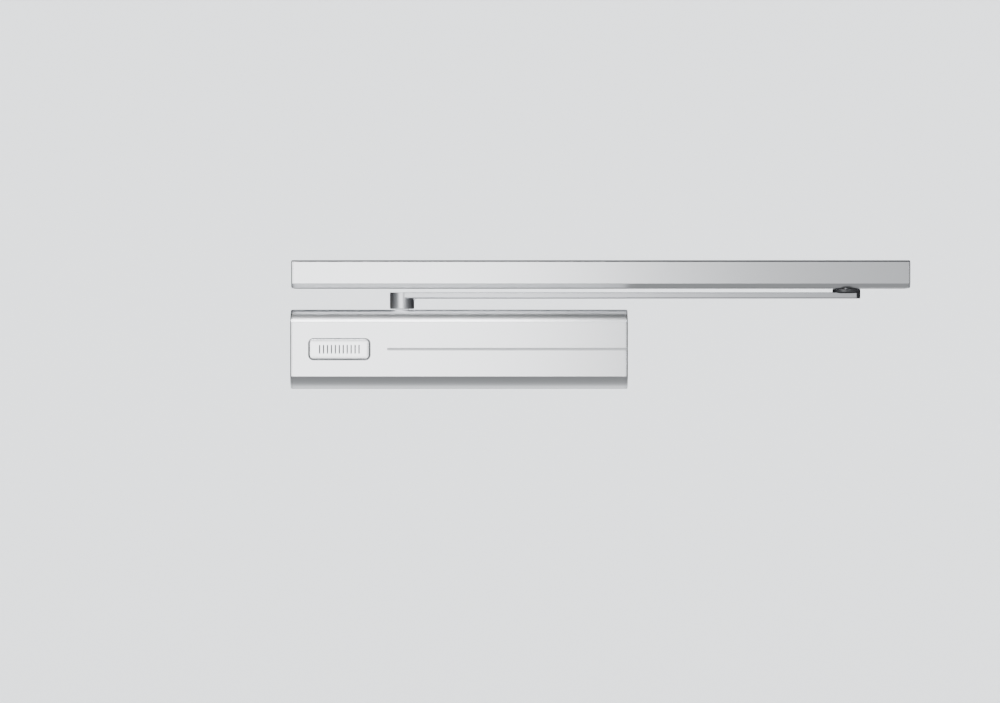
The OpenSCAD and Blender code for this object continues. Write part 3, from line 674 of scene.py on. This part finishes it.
def rail_loop(solid):
    """Section of the rail as (y, z) points, or only its outline where solid is true."""
    z = rail_low[2]
    top = rail_high[2]
    y = SPINDLE.y
    front = rail_low[1]
    channel = (y - CHANNEL_W / 2, y + CHANNEL_W / 2)
    slot = (y - SLOT_W / 2, y + SLOT_W / 2)
    chamber = channel[1] + RAIL_WALL
    r = RAIL_ROUND
    face = [(front + RAIL_BEVEL_LOW[0], z, r * 3), (front, z + RAIL_BEVEL_LOW[1], r * 3),
            (front, top - RAIL_BEVEL_TOP, r), (front + RAIL_BEVEL_TOP, top, r)]
    if solid:
        return round_corners([(0, z, r)] + face + [(0, top, r)], 4)
    return round_corners(
        [(0, z, r / 2), (slot[1], z, r), (slot[1], z + RAIL_LIP, r / 2), (channel[1], z + RAIL_LIP, r / 2),
         (channel[1], top - RAIL_TOP_T, r / 2), (channel[0], top - RAIL_TOP_T, r / 2),
         (channel[0], z + RAIL_LIP, r / 2), (slot[0], z + RAIL_LIP, r / 2), (slot[0], z, r)]
        + face
        + [(0, top, r / 2), (0, top - RAIL_TOP_T, r / 2), (chamber, top - RAIL_TOP_T, r / 2),
           (chamber, z + RAIL_TOP_T, r / 2), (0, z + RAIL_TOP_T, r / 2)], 4)


def make_rail_profile():
    rail = prism("rail_profile_section", rail_loop(False), "x", rail_low[0], rail_high[0])
    screws_low, screws_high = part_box("rail_lock_screws")
    for x in (screws_low[0] + 2.5 * MM, screws_high[0] - 2.5 * MM):
        centre = Vector((x, (screws_low[1] + screws_high[1]) / 2))
        top = rail_low[2] + RAIL_TOP_T + 1 * MM
        hole = disc("lock_hole", centre, LOCK_HOLE_R, rail_low[2] - 1 * MM, top, KEEN, 48)
        combine(rail, hole, "DIFFERENCE")
    stand_for(rail, "rail_profile")


def make_rail_cap(node, side):
    low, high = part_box(node)
    outside = high[0] if side > 0 else low[0]
    seam = rail_high[0] if side > 0 else rail_low[0]
    x = seam + side * SEAM
    cap = prism(node + "_plate", rail_loop(True), "x", x, outside, FINE_EDGE, CAP_ROUND, steps=6)
    gap = 0.2 * MM
    y0, y1 = SPINDLE.y - CHANNEL_W / 2 + gap, SPINDLE.y + CHANNEL_W / 2 - gap
    z0, z1 = rail_low[2] + RAIL_LIP + gap, rail_high[2] - RAIL_TOP_T - gap
    r = 0.8 * MM
    plug_loop = round_corners([(y0, z0, r), (y1, z0, r), (y1, z1, r), (y0, z1, r)], 4)
    inner = low[0] if side > 0 else high[0]
    plug = prism("plug", plug_loop, "x", inner, seam + side * 0.4 * MM, 0.5 * MM, 0.01 * MM)
    combine(cap, plug, "UNION")
    stand_for(cap, node)


# ---- CAD nodes that stay --------------------------------------------------

SOFTENED = {
    "housing": 0.3, "slider_block": 0.35, "slider_pin": 0.2, "arm_screw": 0.2, "lower_slot_insert": 0.15,
    "rail_mount_left": 0.3, "rail_mount_right": 0.3, "rail_lock_screws": 0.15, "cover_clips": 0.1,
    "end_plug_left": 0.3, "end_plug_right": 0.3, "bearing_carrier": 0.2, "spring_adjust_screw": 0.2,
}


def dress_cad_nodes(replaced):
    for node, obj in frame["nodes"].items():
        if node in replaced:
            continue
        material = material_of(SLOT_OF[node])
        if obj.data.materials:
            for i in range(len(obj.data.materials)):
                obj.data.materials[i] = material
        else:
            obj.data.materials.append(material)
        if node in SOFTENED:
            soften(obj, SOFTENED[node] * MM)


# ---- stage ----------------------------------------------------------------

def make_stage():
    """A pale floor that rises all round into a backdrop. The camera sees it, and the metal's gloss doesn't.

    It is wide and deep enough for a camera that stands back far enough to see the joints' limits.
    """
    floor_z = cad_box[0][2] - 3.0
    flat, rise, height, size = 7.0, 3.0, 9.0, 96
    profile = [(0.5, floor_z), (1.5, floor_z), (flat, floor_z)]
    for k in range(1, 17):
        turn = math.pi / 2 * k / 16
        profile.append((flat + rise * math.sin(turn), floor_z + rise * (1 - math.cos(turn))))
    profile.append((flat + rise, floor_z + height))
    rings = [[(p.x, p.y, z) for p in circle(r, count=size)] for r, z in profile]
    faces = [(i * size + k, i * size + (k + 1) % size, (i + 1) * size + (k + 1) % size, (i + 1) * size + k)
             for i in range(len(rings) - 1) for k in range(size)]
    faces.append(tuple(range(size - 1, -1, -1)))
    mesh = bpy.data.meshes.new("pale_floor")
    mesh.from_pydata([p for ring in rings for p in ring], [], faces)
    mesh.flip_normals()
    mesh.shade_smooth()
    floor = bpy.data.objects.new("pale_floor", mesh)
    bpy.context.scene.collection.objects.link(floor)
    material = surface("pale_paper", (0.80, 0.81, 0.82), 0.9, 0.0, (60, 60, 60), 0.03, 0.02, 0.01)
    shader = material.node_tree.nodes["Principled BSDF"]
    shader.inputs["Emission Color"].default_value = (0.96, 0.98, 1, 1)
    shader.inputs["Emission Strength"].default_value = 0.9
    shader.inputs["Specular IOR Level"].default_value = 0.0
    material.cycles.emission_sampling = "NONE"
    mesh.materials.append(material)
    floor.visible_glossy = False
    floor.visible_shadow = False


def make_card():
    """A dark card behind the gap between cover and rail, where the door and its frame would be."""
    card = plain_box("dark_card", (cad_box[0][0], 3 * MM, shell_high[2] - 6 * MM),
                     (cad_box[1][0], 4 * MM, rail_low[2] + 6 * MM))
    black = (0.03, 0.03, 0.03)
    card.data.materials.append(surface("dark_card", black, 0.9, 0.0, (60, 60, 60), 0.03, 0.02, 0.01))
    card.visible_camera = False


def softbox(name, place, target, width, height, watts):
    light = bpy.data.lights.new(name, "AREA")
    light.shape = "RECTANGLE"
    light.size = width
    light.size_y = height
    light.energy = watts
    obj = bpy.data.objects.new(name, light)
    obj.location = place
    obj.rotation_euler = (Vector(target) - Vector(place)).to_track_quat("-Z", "Y").to_euler()
    obj.visible_camera = False
    bpy.context.scene.collection.objects.link(obj)


# Light that comes from round the object, by its angle about X: 0 is in front, 90 above and -90 below.
SURROUND = ((-180, 0.03), (-150, 0.3), (-125, 0.5), (-105, 0.2), (-90, 0.14), (-62, 0.1), (-38, 0.1),
            (-12, 0.2), (0, 0.23), (36, 0.2), (44, 0.55), (58, 0.5), (70, 0.02), (180, 0.03))
SURROUND_STRENGTH = 3.2
SIDE_SHARE = 0.04


def make_lights():
    softbox("front", (-0.2, -0.93, 0.0), (-0.2, 0, 0), 0.64, 0.5, 4.0)
    softbox("above_front", (-0.38, -0.32, 0.48), (-0.38, 0, 0), 0.9, 0.10, 3.9)
    world = bpy.data.worlds.new("studio")
    world.use_nodes = True
    nodes, links = world.node_tree.nodes, world.node_tree.links
    where = nodes.new("ShaderNodeTexCoord")
    split = nodes.new("ShaderNodeSeparateXYZ")
    links.new(where.outputs["Generated"], split.inputs["Vector"])
    forward = nodes.new("ShaderNodeMath")
    forward.operation = "MULTIPLY"
    forward.inputs[1].default_value = -1
    links.new(split.outputs["Y"], forward.inputs[0])
    angle = nodes.new("ShaderNodeMath")
    angle.operation = "ARCTAN2"
    links.new(split.outputs["Z"], angle.inputs[0])
    links.new(forward.outputs[0], angle.inputs[1])
    turn = nodes.new("ShaderNodeMapRange")
    turn.inputs["From Min"].default_value = -math.pi
    turn.inputs["From Max"].default_value = math.pi
    links.new(angle.outputs[0], turn.inputs["Value"])
    ramp = nodes.new("ShaderNodeValToRGB")
    elements = ramp.color_ramp.elements
    for i, (degrees, level) in enumerate(SURROUND):
        at = (degrees + 180) / 360
        element = elements[i and -1] if i in (0, len(SURROUND) - 1) else elements.new(at)
        element.color = (level * 0.965, level * 0.985, level, 1)
    links.new(turn.outputs["Result"], ramp.inputs["Fac"])
    sideways = nodes.new("ShaderNodeMath")
    sideways.operation = "ABSOLUTE"
    links.new(split.outputs["X"], sideways.inputs[0])
    sides = nodes.new("ShaderNodeMapRange")
    sides.interpolation_type = "SMOOTHSTEP"
    sides.inputs["From Min"].default_value = 0.3
    sides.inputs["From Max"].default_value = 1.0
    sides.inputs["To Min"].default_value = SURROUND_STRENGTH
    sides.inputs["To Max"].default_value = SURROUND_STRENGTH * SIDE_SHARE
    links.new(sideways.outputs[0], sides.inputs["Value"])
    background = nodes["Background"]
    links.new(ramp.outputs["Color"], background.inputs["Color"])
    links.new(sides.outputs["Result"], background.inputs["Strength"])
    bpy.context.scene.world = world


def make_camera():
    """Level with the closer and square to it, on a long lens."""
    distance = 3.0
    seen_width = 0.7133
    camera = bpy.data.cameras.new("camera")
    camera.sensor_width = 36
    camera.lens = camera.sensor_width * distance / seen_width
    obj = bpy.data.objects.new("camera", camera)
    obj.location = (0.0291, rail_low[1] - distance, -0.0016)
    obj.rotation_euler = (math.pi / 2, 0, 0)
    bpy.context.scene.collection.objects.link(obj)
    bpy.context.scene.camera = obj


make_camera()
make_stage()
make_card()
make_lights()
make_cover_shell()
make_badge()
make_cover_cap("cover_cap_left", -1)
make_cover_cap("cover_cap_right", 1)
make_arm()
make_arm_end_bush()
make_rail_profile()
make_rail_cap("rail_cap_left", -1)
make_rail_cap("rail_cap_right", 1)
dress_cad_nodes({"cover_shell", "badge", "cover_cap_left", "cover_cap_right", "arm", "arm_end_bush",
                 "rail_profile", "rail_cap_left", "rail_cap_right"})
